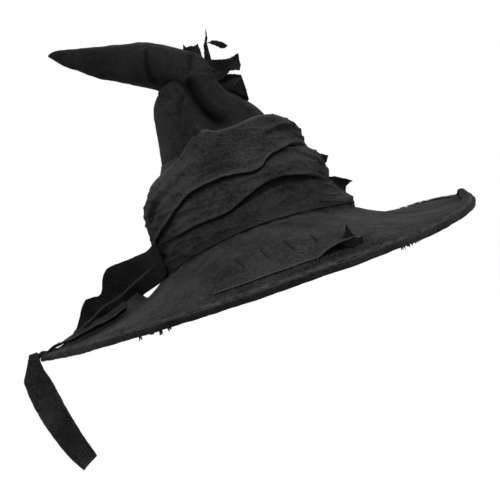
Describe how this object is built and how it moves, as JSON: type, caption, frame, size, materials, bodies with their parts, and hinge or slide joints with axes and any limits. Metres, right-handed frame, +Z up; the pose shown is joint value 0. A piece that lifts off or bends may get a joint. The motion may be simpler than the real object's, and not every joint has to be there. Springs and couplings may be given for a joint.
{
  "type": "witch hat",
  "caption": "Crooked black cloth witch's hat with a wide drooping wired brim, wound scarves, a bendable tip and a sash end hanging off the brim.",
  "frame": {"origin": "centre of the head opening, at half the height of the sweatband", "axes": "+Z up along the head opening, +X towards the hat's blunt brim end, -X towards the pointed brim end with the hanging sash, -Y the front with the laced strip"},
  "size_m": [0.45, 0.4, 0.373],
  "materials": {
    "black_suede_cloth": "matte brushed suede cloth",
    "black_sash_cloth": "matte napped cloth",
    "black_rag_cloth": "matte torn cloth",
    "stiffener_felt": "stiff pressed felt",
    "sweatband_ribbon": "ribbed ribbon, slight sheen",
    "lining_cloth": "satin lining",
    "spring_wire": "bright drawn spring steel"
  },
  "bodies": {
    "hat": {"brim_top_cloth": "black_suede_cloth", "brim_interfacing": "stiffener_felt", "brim_under_cloth": "black_suede_cloth", "brim_hem": "black_suede_cloth", "brim_wire": "spring_wire", "wire_joiner": "spring_wire", "sweatband": "sweatband_ribbon", "crown_lining": "lining_cloth", "crown_cone": "black_suede_cloth", "crown_neck": "black_suede_cloth", "crown_wire": "spring_wire", "sash_band": "black_sash_cloth", "wrap_lower": "black_suede_cloth", "wrap_upper": "black_suede_cloth", "sash_tail": "black_sash_cloth", "sash_run": "black_sash_cloth", "sash_tack": "black_sash_cloth", "laced_strip": "black_suede_cloth", "rag_upper": "black_rag_cloth", "rag_lower": "black_rag_cloth", "side_rag_large": "black_rag_cloth", "side_rag_small": "black_rag_cloth", "fray_left": "black_rag_cloth", "fray_right": "black_rag_cloth"},
    "tip": {"tip_cone": "black_suede_cloth", "tip_wire": "spring_wire", "rag_top": "black_rag_cloth", "rag_spike": "black_rag_cloth", "rag_diamond": "black_rag_cloth"},
    "strap": {"strap": "black_sash_cloth"},
    "strip_end": {"strip_tail": "black_suede_cloth"}
  },
  "joints": [
    {"name": "tip_bend", "type": "hinge", "parent": "hat", "child": "tip", "pos_m": [-0.01, 0, 0.168], "axis": [0, 1, 0], "range_deg": [-20, 15]},
    {"name": "strap_swing", "type": "hinge", "parent": "hat", "child": "strap", "pos_m": [-0.237, 0, -0.0264], "axis": [1, 0, 0], "range_deg": [-75, 75]},
    {"name": "strip_end_lift", "type": "hinge", "parent": "hat", "child": "strip_end", "pos_m": [0.03282, -0.16884, -0.0156], "axis": [0.161, -0.8282, -0.5368], "range_deg": [0, 60]}
  ]
}
